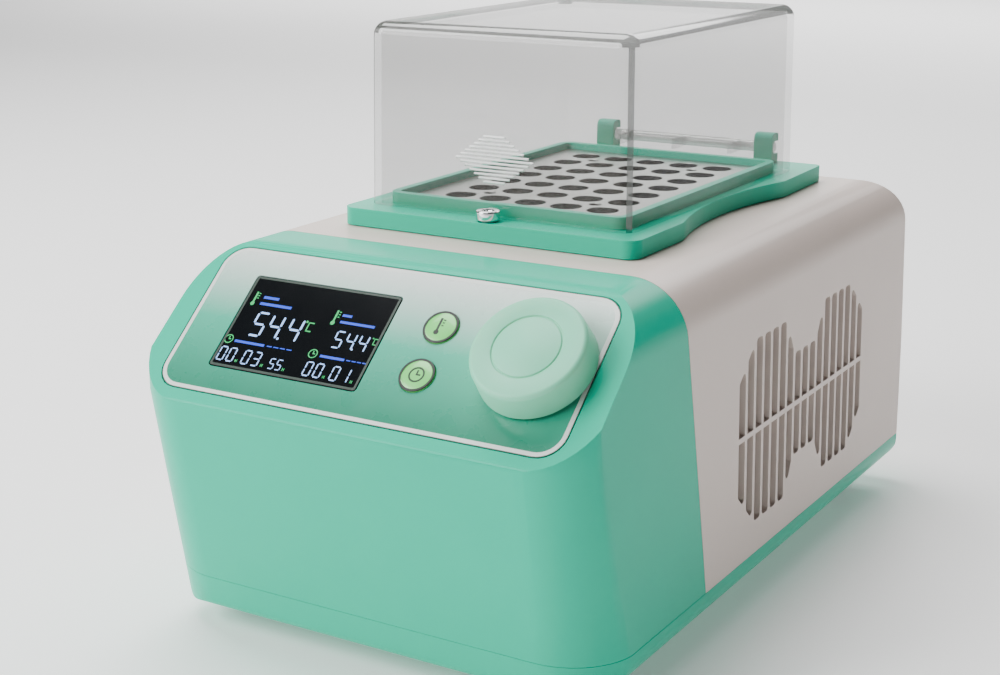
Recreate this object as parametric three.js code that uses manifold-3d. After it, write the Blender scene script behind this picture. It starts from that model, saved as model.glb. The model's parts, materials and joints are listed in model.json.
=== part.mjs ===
// A dry bath incubator: a bench-top heater for a lift-out aluminium tube block under a hinged clear lid.
// Millimetres. X is to the right, Y to the back and Z up, with the origin on the bench under the middle.
import * as THREE from "three";
import { mergeVertices } from "three/addons/utils/BufferGeometryUtils.js";
import Module from "manifold-3d";

const wasm = await Module();
wasm.setup();

// ---- Driving dimensions -------------------------------------------------------------------------

const GAP = 0.3; // clearance between pieces that touch
const ARC_STEPS = 6; // facets in a small rounded corner
const CASE_STEPS = 12; // facets in the case's large rounded corners

const HEIGHT = 197; // bench to the top of the closed lid
const DEPTH = 278; // front crease to the back of the case
const FRONT = -DEPTH / 2;
const BACK = DEPTH / 2;
const FOOT_HEIGHT = 8;

const CASE = {
  bottom: FOOT_HEIGHT,
  seam: 20.3, // top of the base tray
  crease: 84.9, // where the leaning front meets the sloping panel
  top: 127.3,
  halfWidthBottom: 84.9,
  halfWidthTop: 82.1,
  backTop: 136.5,
  wall: 2.5,
  lean: 0.197, // how far the front runs back for each mm down from the crease
  frontCorner: 23,
  backCorner: 4,
  shoulder: 18,
  roll: 5, // rounded lower edge at the front
  skirt: 11, // rounded lower edge at the sides and back
};

// The parting line between the front shell and the rear cover leans with the front face.
const PARTING = { y: -64.5, lean: 0.17 };

const PANEL = { angle: Math.atan(0.865), halfWidth: 74, low: 5.2, high: 61.7, corner: 8.5, film: 0.6 };
const PANEL_TOP_Y = FRONT + (CASE.top - CASE.crease) / Math.tan(PANEL.angle);

const SCREEN = { x: -28.8, s: 33.3, width: 57.4, height: 36.2 };
const KEY = { x: 18, temp: 42.4, time: 24.5, radius: 5.9, travel: 0.5 };
const KNOB = { x: 55.4, s: 34.4, base: 18.7, top: 17.5, height: 10.6, bore: 3, shaft: 2.7 };
const BOARD = { top: -8.9, thickness: 1.6, halfWidth: 70, low: 9, high: 58 };

const COLLAR = {
  halfWidth: 57,
  front: -54.1,
  back: 110.5,
  bottom: CASE.top + GAP,
  top: 133.7,
  corner: 5,
  waistDepth: 6.5, // finger recess on each side
  waistY: 25.5,
  waistHalf: 44.5,
};
const RIM = { halfWidth: 46.5, front: -41.3, back: 88.4, top: 137.9, wall: 3, corner: 5 };

const HINGE = { y: 105.2, z: 139.8, rod: 2.2, bore: 2.65, halfSpan: 38.2 };
const HOOK = { inner: 31, outer: 38.6, front: 101.2, back: 107.8, top: 145.6, mouth: 4.9 };
const WEB = { pitch: 24, thickness: 1.6, halfHeight: 2 };

const LID = {
  halfWidth: 51.3,
  front: -46,
  back: 93.3,
  bottom: COLLAR.top + GAP,
  wall: 3,
  draft: 0.011,
  corner: 5.5,
  topRound: 5,
};
const GRIP = { z: 153.6, halfWide: 15, halfNarrow: 3.6, rise: 8, proud: 0.5 };
const MAGNET = { y: -49.8, radius: 4.1, height: 3.4, plate: 1.6, plateRadius: 3 };

const BLOCK = { halfWidth: 42.8, front: -37.6, back: 84.9, bottom: 91, top: 135.4, corner: 2.5 };
const WELL = { columns: 5, rows: 7, pitchX: 14.1, pitchY: 15.7, y: 25.5, radius: 5.6, depth: 37, sides: 12 };
const TAP = { radius: 2.1, depth: 12, sides: 8 }; // lifting and thermometer holes between the wells

const TUB = { clearance: 1.2, wall: 1.6, floor: 4, bottom: 86.5, top: CASE.top - 0.1 };
const MAT = { halfWidth: 38, front: -32, back: 79, thickness: 3.8 };
const JACKET = { thickness: 6, bottom: 87, top: 119 };
const CARRIER = { halfWidth: 50, front: -45, back: 92, bottom: 76, thickness: 1.5, leg: 3 };

const VENT = {
  slots: 17,
  y: 30.1,
  z: 64.4,
  pitch: 7,
  slot: 5.2,
  bar: 0.9,
  tip: 1.5, // rounding of the slot ends
  // half-height of the grille against the distance from its middle: waist, lobes, tapered ends
  outline: [
    [0, 18.9],
    [10.5, 18.9],
    [17.5, 32.2],
    [45, 32.2],
    [60, 18.4],
  ],
};

const FAN = { x: -68.5, y: 62, z: 64, size: 60, depth: 15, bore: 28, hub: 12, blades: 7 };
const INLET = { x: -42, z: 52, width: 27, height: 31, socketWidth: 22, socketHeight: 14, depth: 26 };
const DRAWER = { width: 15, height: 6, depth: 18, drop: 9.7 };
const SWITCH = { x: 42, z: 52, width: 21, height: 15, depth: 16 };
const FOOT = { x: 62, front: -98, back: 116, radius: 9 };
const CASE_SCREW = { x: 73, front: -84, back: 100, post: 4.2 };
const BOARD_Z = 26;

// ---- Materials ----------------------------------------------------------------------------------

function material(color, roughness, metalness = 0, opacity = 1) {
  return new THREE.MeshStandardMaterial({
    color,
    roughness,
    metalness,
    opacity,
    transparent: opacity < 1,
  });
}

const GREEN = material(0x6cc6b0, 0.35);
const WHITE = material(0xddd6d3, 0.4);
const FILM = material(0xa9d3c6, 0.3);
const GLASS_BLACK = material(0x1c2124, 0.1);
const CLEAR = material(0xc4c2bd, 0.08, 0, 0.35);
const PALE_GREEN = material(0xbfe0d0, 0.45);
const KEY_GREEN = material(0x9fd89a, 0.4);
const RUBBER = material(0x2a2a2a, 0.9);
const STEEL = material(0xb9bcc0, 0.3, 1);
const CHROME = material(0xd9dcdf, 0.12, 1);
const ALUMINIUM = material(0xc9cccb, 0.35, 1);
const BLACK = material(0x1b1b1d, 0.5);
const CIRCUIT = material(0x1f5b3a, 0.55);
const FOAM = material(0xe9e6dc, 0.95);
const SILICONE = material(0xb5522e, 0.8);
const BRASS = material(0xc9a24a, 0.3, 1);
const GREY = material(0x8d9092, 0.6);

// ---- Solids -------------------------------------------------------------------------------------

function toSolid(geometry) {
  const bare = new THREE.BufferGeometry();
  bare.setAttribute("position", geometry.getAttribute("position"));
  bare.setIndex(geometry.index);
  const merged = mergeVertices(bare, 1e-4);
  const mesh = new wasm.Mesh({
    numProp: 3,
    vertProperties: new Float32Array(merged.attributes.position.array),
    triVerts: new Uint32Array(merged.index.array),
  });
  return new wasm.Manifold(mesh);
}

function toGeometry(solid) {
  const mesh = solid.getMesh();
  const geometry = new THREE.BufferGeometry();
  geometry.setAttribute("position", new THREE.BufferAttribute(mesh.vertProperties, 3));
  geometry.setIndex(new THREE.BufferAttribute(mesh.triVerts, 1));
  geometry.computeVertexNormals();
  return geometry;
}

const union = (...solids) => solids.reduce((a, b) => a.add(b));
const cut = (solid, ...tools) => tools.reduce((a, b) => a.subtract(b), solid);

// Rounds each [x, y, radius] corner of an anticlockwise outline.
function rounded(corners, steps = ARC_STEPS) {
  const points = [];
  corners.forEach(([x, y, radius = 0], i) => {
    const here = new THREE.Vector2(x, y);
    if (!radius) {
      points.push(here);
      return;
    }
    const before = corners.at(i - 1);
    const after = corners[(i + 1) % corners.length];
    const toBefore = new THREE.Vector2(before[0], before[1]).sub(here).normalize();
    const toAfter = new THREE.Vector2(after[0], after[1]).sub(here).normalize();
    const half = Math.acos(THREE.MathUtils.clamp(toBefore.dot(toAfter), -1, 1)) / 2;
    const centre = toBefore
      .clone()
      .add(toAfter)
      .normalize()
      .multiplyScalar(radius / Math.sin(half))
      .add(here);
    const start = toBefore.multiplyScalar(radius / Math.tan(half)).add(here).sub(centre);
    const end = toAfter.multiplyScalar(radius / Math.tan(half)).add(here).sub(centre);
    const sweep = Math.atan2(start.cross(end), start.dot(end));
    for (let step = 0; step <= steps; step++) {
      const turned = start.clone().rotateAround(new THREE.Vector2(), (sweep * step) / steps);
      points.push(turned.add(centre));
    }
  });
  return points;
}

// Moves each edge of an anticlockwise [x, y, radius] outline inwards.
function inset(corners, distance) {
  const edges = corners.map((corner, i) => {
    const next = corners[(i + 1) % corners.length];
    const along = new THREE.Vector2(next[0] - corner[0], next[1] - corner[1]).normalize();
    const offset = new THREE.Vector2(-along.y, along.x).multiplyScalar(distance);
    return { point: new THREE.Vector2(corner[0], corner[1]).add(offset), along };
  });
  return corners.map((corner, i) => {
    const a = edges.at(i - 1);
    const b = edges[i];
    const t = b.point.clone().sub(a.point).cross(b.along) / a.along.cross(b.along);
    const point = a.point.clone().addScaledVector(a.along, t);
    return [point.x, point.y, Math.max((corner[2] || 0) - distance, 0.4)];
  });
}

function rectangle(x0, x1, y0, y1, radius = 0) {
  return [
    [x0, y0, radius],
    [x1, y0, radius],
    [x1, y1, radius],
    [x0, y1, radius],
  ];
}

function extrude(points, depth, xAxis, yAxis, zAxis, origin) {
  const shape = new THREE.Shape(points);
  const geometry = new THREE.ExtrudeGeometry(shape, { depth, bevelEnabled: false });
  const matrix = new THREE.Matrix4().makeBasis(xAxis, yAxis, zAxis).setPosition(origin);
  return toSolid(geometry.applyMatrix4(matrix));
}

const X = new THREE.Vector3(1, 0, 0);
const Y = new THREE.Vector3(0, 1, 0);
const Z = new THREE.Vector3(0, 0, 1);

// An outline drawn in (y, z), (x, z) or (x, y), carried along the third axis from low to high.
const alongX = (points, low, high) => extrude(points, high - low, Y, Z, X, new THREE.Vector3(low, 0, 0));
const alongY = (points, low, high) =>
  extrude(points, high - low, X, Z, Y.clone().negate(), new THREE.Vector3(0, high, 0));
const alongZ = (points, low, high) => extrude(points, high - low, X, Y, Z, new THREE.Vector3(0, 0, low));

const box = (x0, x1, y0, y1, z0, z1) => alongZ(rounded(rectangle(x0, x1, y0, y1)), z0, z1);

function cylinder(radius, low, high, x = 0, y = 0, sides = 20, topRadius = radius) {
  const geometry = new THREE.CylinderGeometry(topRadius, radius, high - low, sides);
  geometry.rotateX(Math.PI / 2).translate(x, y, (low + high) / 2);
  return toSolid(geometry);
}

// A cylinder along X or Y through the given place.
function rod(radius, axis, low, high, a, b, sides = 20) {
  const geometry = new THREE.CylinderGeometry(radius, radius, high - low, sides);
  const middle = (low + high) / 2;
  if (axis === "x") geometry.rotateZ(Math.PI / 2).translate(middle, a, b);
  else geometry.translate(a, middle, b);
  return toSolid(geometry);
}

// Level rings of equal length, lowest first, skinned and capped.
function loft(rings) {
  const count = rings[0].points.length;
  const positions = rings.flatMap(({ points, z }) => points.flatMap((p) => [p.x, p.y, z]));
  const index = [];
  for (let level = 0; level + 1 < rings.length; level++) {
    for (let i = 0; i < count; i++) {
      const a = level * count + i;
      const b = level * count + ((i + 1) % count);
      index.push(a, b, b + count, a, b + count, a + count);
    }
  }
  const cap = (points) => THREE.ShapeUtils.triangulateShape(points, []);
  const last = (rings.length - 1) * count;
  cap(rings[0].points).forEach(([a, b, c]) => index.push(a, c, b));
  cap(rings.at(-1).points).forEach(([a, b, c]) => index.push(last + a, last + b, last + c));
  const geometry = new THREE.BufferGeometry();
  geometry.setAttribute("position", new THREE.Float32BufferAttribute(positions, 3));
  geometry.setIndex(index);
  return toSolid(geometry);
}

// ---- Scene graph --------------------------------------------------------------------------------

const root = new THREE.Group();

// The control panel's own frame: x across, y up the slope from the crease, z out of the panel.
const panel = new THREE.Group();
panel.position.set(0, FRONT, CASE.crease);
panel.rotation.x = PANEL.angle;
root.add(panel);

function add(name, solid, finish, parent = root) {
  const mesh = new THREE.Mesh(toGeometry(solid), finish);
  mesh.name = name;
  parent.add(mesh);
}

// Carries a solid from the panel's frame to the case's frame.
function fromPanel(solid) {
  panel.updateMatrix();
  return toSolid(toGeometry(solid).applyMatrix4(panel.matrix));
}

// ---- Case ---------------------------------------------------------------------------------------

const frontAt = (z) => FRONT + CASE.lean * Math.max(CASE.crease - z, 0);
const partingAt = (z) => PARTING.y + PARTING.lean * (CASE.crease - z);

// The outer form of the case, or the same form shrunk by a wall: side view, end view and plan together.
function caseForm(wall) {
  const side = [
    [frontAt(CASE.bottom), CASE.bottom, CASE.roll],
    [BACK, CASE.bottom, CASE.skirt],
    [CASE.backTop, CASE.top, CASE.shoulder],
    [PANEL_TOP_Y, CASE.top, CASE.roll + 3],
    [FRONT, CASE.crease, 2],
  ];
  const end = [
    [-CASE.halfWidthBottom, CASE.bottom, CASE.skirt],
    [CASE.halfWidthBottom, CASE.bottom, CASE.skirt],
    [CASE.halfWidthTop, CASE.top, CASE.shoulder],
    [-CASE.halfWidthTop, CASE.top, CASE.shoulder],
  ];
  const plan = (z) => {
    const corners = [
      [-CASE.halfWidthBottom, frontAt(z), CASE.frontCorner],
      [CASE.halfWidthBottom, frontAt(z), CASE.frontCorner],
      [CASE.halfWidthBottom, BACK, CASE.backCorner],
      [-CASE.halfWidthBottom, BACK, CASE.backCorner],
    ];
    return { points: rounded(inset(corners, wall), steps), z };
  };
  const steps = wall ? ARC_STEPS : CASE_STEPS;
  const across = alongX(rounded(inset(side, wall), steps), -2 * DEPTH, 2 * DEPTH);
  const lengthways = alongY(rounded(inset(end, wall), steps), -2 * DEPTH, 2 * DEPTH);
  return across.intersect(lengthways).intersect(loft([plan(0), plan(CASE.crease), plan(HEIGHT)]));
}

const outerForm = caseForm(0);
const innerForm = caseForm(CASE.wall);
const shell = outerForm.subtract(innerForm);

// Everything ahead of the parting line, moved by a distance along Y, and above the tray.
function aheadOfParting(shift) {
  const low = CASE.seam + GAP / 2;
  const outline = [
    [2 * FRONT, low],
    [partingAt(low) + shift, low],
    [partingAt(HEIGHT) + shift, HEIGHT],
    [2 * FRONT, HEIGHT],
  ];
  return alongX(rounded(outline), -DEPTH, DEPTH);
}

const aboveTray = box(-DEPTH, DEPTH, -DEPTH, DEPTH, CASE.seam + GAP / 2, HEIGHT);

// Screw posts that stand out from the two side walls.
function screwPosts(y) {
  return [-1, 1].map((side) => {
    const inner = side * (CASE_SCREW.x - CASE_SCREW.post);
    const outer = side * (CASE.halfWidthBottom - 1);
    const post = box(
      Math.min(inner, outer),
      Math.max(inner, outer),
      y - CASE_SCREW.post,
      y + CASE_SCREW.post,
      CASE.seam + 4,
      CASE.seam + 18,
    ).intersect(outerForm);
    return cut(post, cylinder(1.8, 0, CASE.seam + 15, side * CASE_SCREW.x, y, 10));
  });
}

// The places on the panel where keys, knob shaft and screen pass through the front shell.
function panelHoles(margin) {
  const { x, s, width, height } = SCREEN;
  const low = -CASE.wall - 2;
  return [
    alongZ(
      rounded(
        rectangle(
          x - width / 2 - margin,
          x + width / 2 + margin,
          s - height / 2 - margin,
          s + height / 2 + margin,
          1.2,
        ),
        2,
      ),
      low,
      1,
    ),
    cylinder(KEY.radius + margin + 0.1, low, 1, KEY.x, KEY.temp, 24),
    cylinder(KEY.radius + margin + 0.1, low, 1, KEY.x, KEY.time, 24),
    cylinder(KNOB.shaft + 1 + margin, low, 1, KNOB.x, KNOB.s, 20),
  ];
}

function panelOutline(margin) {
  const { halfWidth, low, high, corner } = PANEL;
  return rounded(rectangle(-halfWidth - margin, halfWidth + margin, low - margin, high + margin, corner));
}

function addFrontShell() {
  const pocket = alongZ(panelOutline(GAP), -PANEL.film - GAP, 3);
  const body = shell.intersect(aheadOfParting(0));
  add(
    "front_shell",
    union(
      cut(body, fromPanel(pocket), ...panelHoles(GAP).map(fromPanel)),
      ...screwPosts(CASE_SCREW.front),
    ),
    GREEN,
  );
}

function ventSlots(side) {
  const { slots, y, z, pitch, slot, bar, tip, outline } = VENT;
  const reach = (place) => {
    const distance = Math.abs(place - y);
    const k = outline.findIndex(([d]) => d > distance);
    const [d0, h0] = outline[k - 1];
    const [d1, h1] = outline[k];
    return h0 + ((h1 - h0) * (distance - d0)) / (d1 - d0);
  };
  const inner = side * (CASE.halfWidthTop - 12);
  const outer = side * (CASE.halfWidthBottom + 5);
  const tools = [];
  for (let i = 0; i < slots; i++) {
    const middle = y + (i - (slots - 1) / 2) * pitch;
    const a = middle - slot / 2;
    const b = middle + slot / 2;
    for (const up of [1, -1]) {
      const corners = [
        [a, z + up * bar],
        [b, z + up * bar],
        [b, z + up * reach(b), tip],
        [a, z + up * reach(a), tip],
      ];
      if (up < 0) corners.reverse();
      tools.push(alongX(rounded(corners), Math.min(inner, outer), Math.max(inner, outer)));
    }
  }
  return tools;
}

function addRearCover() {
  const body = shell.intersect(aboveTray).subtract(aheadOfParting(GAP));
  const mouth = alongZ(
    rounded(rectangle(-RIM.halfWidth - 0.8, RIM.halfWidth + 0.8, RIM.front - 1.4, RIM.back + 1.4, 4), 4),
    CASE.top - 8,
    CASE.top + 5,
  );
  const inletHole = box(
    INLET.x - INLET.width / 2 - GAP,
    INLET.x + INLET.width / 2 + GAP,
    BACK - 15,
    BACK + 5,
    INLET.z - INLET.height / 2 - GAP,
    INLET.z + INLET.height / 2 + GAP,
  );
  const switchHole = box(
    SWITCH.x - SWITCH.width / 2 - GAP,
    SWITCH.x + SWITCH.width / 2 + GAP,
    BACK - 15,
    BACK + 5,
    SWITCH.z - SWITCH.height / 2 - GAP,
    SWITCH.z + SWITCH.height / 2 + GAP,
  );
  const walls = cut(body, mouth, inletHole, switchHole, ...ventSlots(1), ...ventSlots(-1));
  add("rear_cover", union(walls, ...screwPosts(CASE_SCREW.back)), WHITE);
}

const footPlaces = [
  ["front_left", -FOOT.x, FOOT.front],
  ["front_right", FOOT.x, FOOT.front],
  ["rear_left", -FOOT.x, FOOT.back],
  ["rear_right", FOOT.x, FOOT.back],
];

const caseScrewPlaces = [
  ["front_left", -CASE_SCREW.x, CASE_SCREW.front],
  ["front_right", CASE_SCREW.x, CASE_SCREW.front],
  ["rear_left", -CASE_SCREW.x, CASE_SCREW.back],
  ["rear_right", CASE_SCREW.x, CASE_SCREW.back],
];

const MAIN_BOARD = { x0: -58, x1: -12, y0: -35, y1: 25 };
const SUPPLY_BOARD = { x0: -4, x1: 60, y0: -33, y1: 72 };

function boardCorners({ x0, x1, y0, y1 }) {
  const edge = 4;
  return [
    [x0 + edge, y0 + edge],
    [x1 - edge, y0 + edge],
    [x0 + edge, y1 - edge],
    [x1 - edge, y1 - edge],
  ];
}

const legPlaces = [
  [-46, -41],
  [46, -41],
  [-46, 88],
  [46, 88],
];

function addBaseTray() {
  const low = box(-DEPTH, DEPTH, -DEPTH, DEPTH, 0, CASE.seam);
  const floorTop = CASE.bottom + CASE.wall;
  const hollow = innerForm.intersect(box(-DEPTH, DEPTH, -DEPTH, DEPTH, floorTop, HEIGHT));
  let tray = outerForm.intersect(low).subtract(hollow);
  const inside = CASE.bottom + 1;
  for (const [, x, y] of footPlaces) tray = tray.add(cylinder(4.5, inside, floorTop + 5, x, y, 12));
  for (const [, x, y] of caseScrewPlaces) tray = tray.add(cylinder(5, inside, CASE.seam + 3.6, x, y, 12));
  const standoffs = [...boardCorners(MAIN_BOARD), ...boardCorners(SUPPLY_BOARD), ...legPlaces];
  for (const [x, y] of standoffs) tray = tray.add(cylinder(3, inside, BOARD_Z - GAP, x, y, 8));
  for (const [, x, y] of footPlaces) tray = tray.subtract(cylinder(1.8, 0, floorTop + 3.5, x, y, 10));
  for (const [, x, y] of caseScrewPlaces) {
    tray = cut(tray, cylinder(3.5, 0, CASE.bottom + 4.5, x, y, 12), cylinder(1.9, 0, HEIGHT, x, y, 10));
  }
  add("base_tray", tray, GREEN);
}

function addFeet() {
  for (const [place, x, y] of footPlaces) {
    const top = CASE.bottom - GAP;
    const body = cut(
      cylinder(FOOT.radius - 1.2, 0, top, x, y, 24, FOOT.radius),
      cylinder(4.6, -1, 4, x, y, 16),
      cylinder(2.1, -1, HEIGHT, x, y, 10),
    );
    add(`foot_${place}`, body, RUBBER);
    const head = cylinder(4, 1.6, 4 - GAP, x, y, 16);
    add(`foot_screw_${place}`, union(head, cylinder(1.5, 3, CASE.bottom + 5, x, y, 10)), STEEL);
  }
}

function addCaseScrews() {
  for (const [place, x, y] of caseScrewPlaces) {
    const head = cylinder(3, CASE.bottom + 1.6, CASE.bottom + 4.2, x, y, 16);
    add(`case_screw_${place}`, union(head, cylinder(1.5, CASE.bottom + 3, CASE.seam + 14, x, y, 10)), STEEL);
  }
}

// ---- Collar, lid and block ----------------------------------------------------------------------

function collarOutline() {
  const { halfWidth, front, back, corner, waistDepth, waistY, waistHalf } = COLLAR;
  const steps = 10;
  const waist = Array.from({ length: steps + 1 }, (_, i) => {
    const t = (2 * i) / steps - 1;
    return [halfWidth - waistDepth * (1 - t * t), waistY + t * waistHalf];
  });
  const mirrored = waist.map(([x, y]) => [-x, y]).reverse();
  return rounded([
    [-halfWidth, front, corner],
    [halfWidth, front, corner],
    ...waist,
    [halfWidth - 1, back, corner - 2],
    [1 - halfWidth, back, corner - 2],
    ...mirrored,
  ]);
}

// A C-shaped hook, open to the back, that the lid's hinge rod snaps into.
function hook(side) {
  const { inner, outer, front, back, top, mouth } = HOOK;
  const x0 = side > 0 ? inner : -outer;
  const x1 = x0 + outer - inner;
  const body = alongX(
    rounded(
      [
        [front, COLLAR.top - 1],
        [back, COLLAR.top - 1],
        [back, top, 1.6],
        [front, top, 2.4],
      ],
      4,
    ),
    x0,
    x1,
  );
  const throat = box(x0 - 1, x1 + 1, HINGE.y, back + 1, HINGE.z - mouth / 2, HINGE.z + mouth / 2);
  return cut(body, rod(HINGE.bore, "x", x0 - 1, x1 + 1, HINGE.y, HINGE.z, 20), throat);
}

function rimOutline(margin) {
  const { halfWidth, front, back, corner } = RIM;
  return rounded(
    rectangle(-halfWidth - margin, halfWidth + margin, front - margin, back + margin, corner + margin),
    4,
  );
}

function addCollar() {
  const flange = alongZ(collarOutline(), COLLAR.bottom, COLLAR.top);
  const wall = alongZ(rimOutline(0), COLLAR.bottom, RIM.top);
  const opening = alongZ(rimOutline(-RIM.wall), COLLAR.bottom - 1, RIM.top + 1);
  const { y, plate: thickness, plateRadius } = MAGNET;
  const seat = cylinder(plateRadius + GAP, COLLAR.top - thickness - GAP, HEIGHT, 0, y, 20);
  add("top_collar", union(cut(union(flange, wall), opening, seat), hook(1), hook(-1)), GREEN);
  const plate = cylinder(plateRadius, COLLAR.top - thickness, COLLAR.top - 0.1, 0, y, 20);
  add("catch_plate", plate, STEEL);
}

function lidRing(z, shrink) {
  const taper = LID.draft * (z - LID.bottom) + shrink;
  const corner = Math.max(LID.corner - shrink, 0.8);
  const { halfWidth, front, back } = LID;
  const outline = rectangle(taper - halfWidth, halfWidth - taper, front + taper, back - taper, corner);
  return { points: rounded(outline, 4), z };
}

function lidForm(top, shrink, low) {
  const rings = [lidRing(low, shrink)];
  const turns = 3;
  const round = LID.topRound - Math.min(shrink, LID.topRound - 1);
  for (let i = 0; i <= turns; i++) {
    const angle = (Math.PI / 2) * (i / turns);
    rings.push(lidRing(top - round * (1 - Math.sin(angle)), shrink + round * (1 - Math.cos(angle))));
  }
  return loft(rings);
}

function addLid() {
  const outer = lidForm(HEIGHT, 0, LID.bottom);
  const inner = lidForm(HEIGHT - LID.wall, LID.wall, LID.bottom - 2);
  const { z, halfWide, halfNarrow, rise, proud } = GRIP;
  const grip = alongY(
    rounded([
      [-halfNarrow, z - rise],
      [halfNarrow, z - rise],
      [halfWide, z],
      [halfNarrow, z + rise],
      [-halfNarrow, z + rise],
      [-halfWide, z],
    ]),
    LID.front - proud,
    LID.front + LID.wall / 2,
  );
  const magnetSeat = cylinder(MAGNET.radius + GAP, 0, LID.bottom + MAGNET.height + GAP, 0, MAGNET.y, 20);
  const hingeRod = rod(HINGE.rod, "x", -HINGE.halfSpan, HINGE.halfSpan, HINGE.y, HINGE.z, 16);
  const webs = [-1, 0, 1].map((i) =>
    box(
      i * WEB.pitch - WEB.thickness / 2,
      i * WEB.pitch + WEB.thickness / 2,
      LID.back - LID.wall / 2,
      HINGE.y,
      HINGE.z - WEB.halfHeight,
      HINGE.z + WEB.halfHeight,
    ),
  );
  add("lid_shell", union(cut(union(cut(outer, inner), grip), magnetSeat), hingeRod, ...webs), CLEAR);
  const magnet = cylinder(MAGNET.radius, LID.bottom + 0.2, LID.bottom + MAGNET.height, 0, MAGNET.y, 20);
  add("lid_magnet", magnet, CHROME);
}

function wellPlaces() {
  const { columns, rows, pitchX, pitchY, y } = WELL;
  const places = [];
  for (let row = 0; row < rows; row++) {
    for (let column = 0; column < columns; column++) {
      places.push([(column - (columns - 1) / 2) * pitchX, y + (row - (rows - 1) / 2) * pitchY]);
    }
  }
  return places;
}

function addBlock() {
  const { halfWidth, front, back, bottom, top, corner } = BLOCK;
  const body = alongZ(rounded(rectangle(-halfWidth, halfWidth, front, back, corner), 3), bottom, top);
  const tools = wellPlaces().map(([x, y]) =>
    cylinder(WELL.radius, top - WELL.depth, top + 1, x, y, WELL.sides),
  );
  for (const i of [-1, 1]) {
    for (const j of [-1, 1]) {
      const x = i * 1.5 * WELL.pitchX;
      const y = WELL.y + j * 2.5 * WELL.pitchY;
      tools.push(cylinder(TAP.radius, top - TAP.depth, top + 1, x, y, TAP.sides));
    }
  }
  add("tube_block", cut(body, ...tools), ALUMINIUM);
}

// A plan outline that stands outside the block by a margin.
function aroundBlock(margin, corner) {
  const { halfWidth, front, back } = BLOCK;
  return rounded(
    rectangle(-halfWidth - margin, halfWidth + margin, front - margin, back + margin, corner),
    3,
  );
}

function addHeater() {
  const inside = TUB.clearance;
  const outside = TUB.clearance + TUB.wall;
  const tub = cut(
    alongZ(aroundBlock(outside, 4), TUB.bottom, TUB.top),
    alongZ(aroundBlock(inside, 3), TUB.bottom + TUB.floor, TUB.top + 1),
  );
  add("heating_tub", tub, ALUMINIUM);
  const matTop = TUB.bottom - GAP;
  const mat = alongZ(
    rounded(rectangle(-MAT.halfWidth, MAT.halfWidth, MAT.front, MAT.back, 3), 3),
    matTop - MAT.thickness,
    matTop,
  );
  add("heater_mat", mat, SILICONE);
  const jacket = cut(
    alongZ(aroundBlock(outside + GAP + JACKET.thickness, 6), JACKET.bottom, JACKET.top),
    alongZ(aroundBlock(outside + GAP, 4), JACKET.bottom - 1, JACKET.top + 1),
  );
  add("insulation_jacket", jacket, FOAM);
}

function addCarrier() {
  const { halfWidth, front, back, bottom, thickness, leg } = CARRIER;
  let carrier = box(-halfWidth, halfWidth, front, back, bottom, bottom + thickness);
  const rest = TUB.bottom - GAP;
  for (const [x, y] of legPlaces) {
    carrier = carrier.add(cylinder(leg, BOARD_Z, bottom + 1, x, y, 12));
    carrier = carrier.add(cylinder(leg, bottom + 1, rest, x * 0.93, y < 0 ? -36 : 83, 12));
  }
  add("tub_carrier", carrier, STEEL);
  const floor = bottom + thickness;
  add("thermal_cutout", cylinder(8, floor + 0.4, rest - MAT.thickness - 0.4, 0, 20, 20), GREY);
  add("temperature_probe", rod(1.6, "x", -30, 12, 56, floor + 2.3, 12), STEEL);
}

// ---- Controls -----------------------------------------------------------------------------------

function addPanelPieces() {
  const film = cut(alongZ(panelOutline(0), -PANEL.film, 0), ...panelHoles(0.05));
  add("control_overlay", film, FILM, panel);

  const { x, s, width, height } = SCREEN;
  const pane = (margin, low, high) =>
    alongZ(
      rounded(
        rectangle(
          x - width / 2 + margin,
          x + width / 2 - margin,
          s - height / 2 + margin,
          s + height / 2 - margin,
          1,
        ),
        2,
      ),
      low,
      high,
    );
  add("display_window", pane(0.3, -1.6, -0.05), GLASS_BLACK, panel);
  add("lcd_module", pane(-1.5, -7.5, -CASE.wall - GAP), GREY, panel);

  const holes = [cylinder(4, -20, 0, KNOB.x, KNOB.s, 12)];
  const board = alongZ(
    rounded(rectangle(-BOARD.halfWidth, BOARD.halfWidth, BOARD.low, BOARD.high, 2), 2),
    BOARD.top - BOARD.thickness,
    BOARD.top,
  );
  add("display_board", cut(board, ...holes), CIRCUIT, panel);
}

function addKeys() {
  const capLow = -2.4;
  for (const [name, s] of [
    ["temp", KEY.temp],
    ["time", KEY.time],
  ]) {
    const cap = union(
      cylinder(KEY.radius, capLow, 0.2, KEY.x, s, 24),
      cylinder(KEY.radius, 0.2, 0.7, KEY.x, s, 24, KEY.radius - 0.7),
    );
    add(`${name}_key`, cap, KEY_GREEN, panel);
    const top = capLow - KEY.travel - GAP;
    const body = box(KEY.x - 3, KEY.x + 3, s - 3, s + 3, BOARD.top + GAP, top - 1.2);
    add(`${name}_switch`, union(body, cylinder(1.7, top - 2, top, KEY.x, s, 12)), BLACK, panel);
  }
}

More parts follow.
